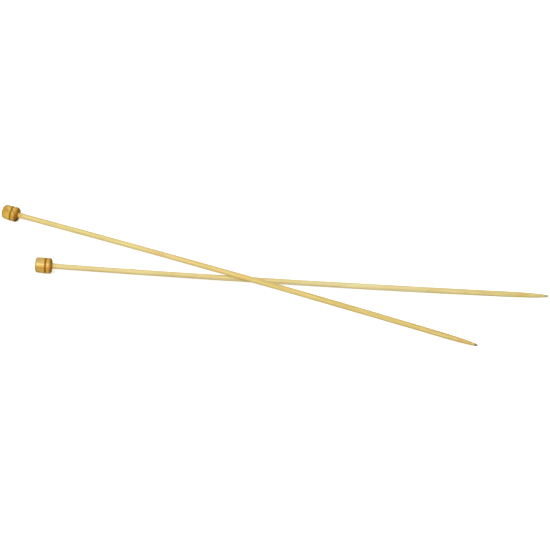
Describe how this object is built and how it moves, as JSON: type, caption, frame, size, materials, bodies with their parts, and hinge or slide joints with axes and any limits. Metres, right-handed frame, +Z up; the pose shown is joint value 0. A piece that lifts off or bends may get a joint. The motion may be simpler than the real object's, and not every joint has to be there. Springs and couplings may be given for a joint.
{
  "type": "straight knitting needles",
  "caption": "Straight single-pointed bamboo knitting needles with long tapered points and turned, grooved wooden end knobs, one lying across the other.",
  "frame": {"origin": "bottom centre of the crossed pair's bounding box, on the surface that the pair lies on", "axes": "+Z up, +X along the needles towards their points, +Y to the side that the upper needle's knob lies on"},
  "size_m": [0.3746, 0.139, 0.0125],
  "materials": {
    "bamboo_shaft": "smooth pale bamboo with a satin wax polish",
    "upper_knob_wood": "glossy clear-varnished honey-brown wood with a scorched groove",
    "lower_knob_wood": "glossy clear-varnished golden wood with a scorched groove"
  },
  "bodies": {
    "lower_needle": {"lower_shaft": "bamboo_shaft", "lower_knob": "lower_knob_wood"},
    "upper_needle": {"upper_shaft": "bamboo_shaft", "upper_knob": "upper_knob_wood"}
  },
  "joints": [
    {"name": "crossing_swivel", "type": "hinge", "parent": "lower_needle", "child": "upper_needle", "pos_m": [-0.0264, 0.00074, 0.00604], "axis": [0, 0, 1], "range_deg": [-157, 13]}
  ]
}
